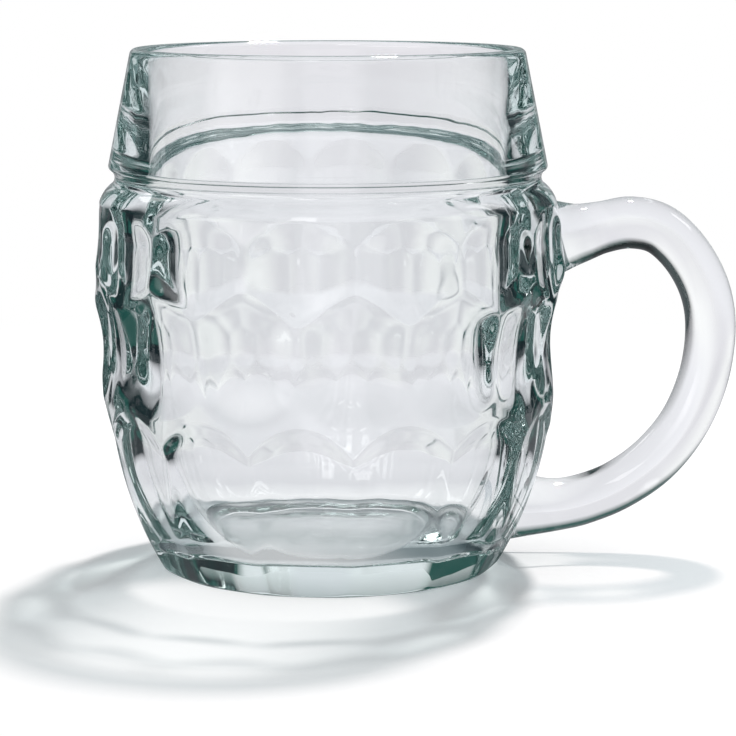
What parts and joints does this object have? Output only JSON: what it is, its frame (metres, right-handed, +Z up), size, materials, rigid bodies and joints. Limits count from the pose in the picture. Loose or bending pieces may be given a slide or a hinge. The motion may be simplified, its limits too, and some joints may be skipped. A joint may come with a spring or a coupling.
{
  "type": "dimpled glass beer mug",
  "caption": "Clear glass beer mug with a dimpled and fluted bowl, a plain drinking collar and a side handle.",
  "frame": {"origin": "on the surface the mug stands on, under the middle of the bowl", "axes": "+Z up along the bowl's axis, +X from the bowl's axis towards the handle, +Y to complete a right-handed frame"},
  "size_m": [0.1509, 0.1098, 0.12],
  "materials": {
    "glass": "clear pressed soda-lime glass, fire-polished, with a faint green-blue tint in its thick places"
  },
  "bodies": {
    "root": {"bowl": "glass", "handle": "glass"}
  },
  "joints": []
}
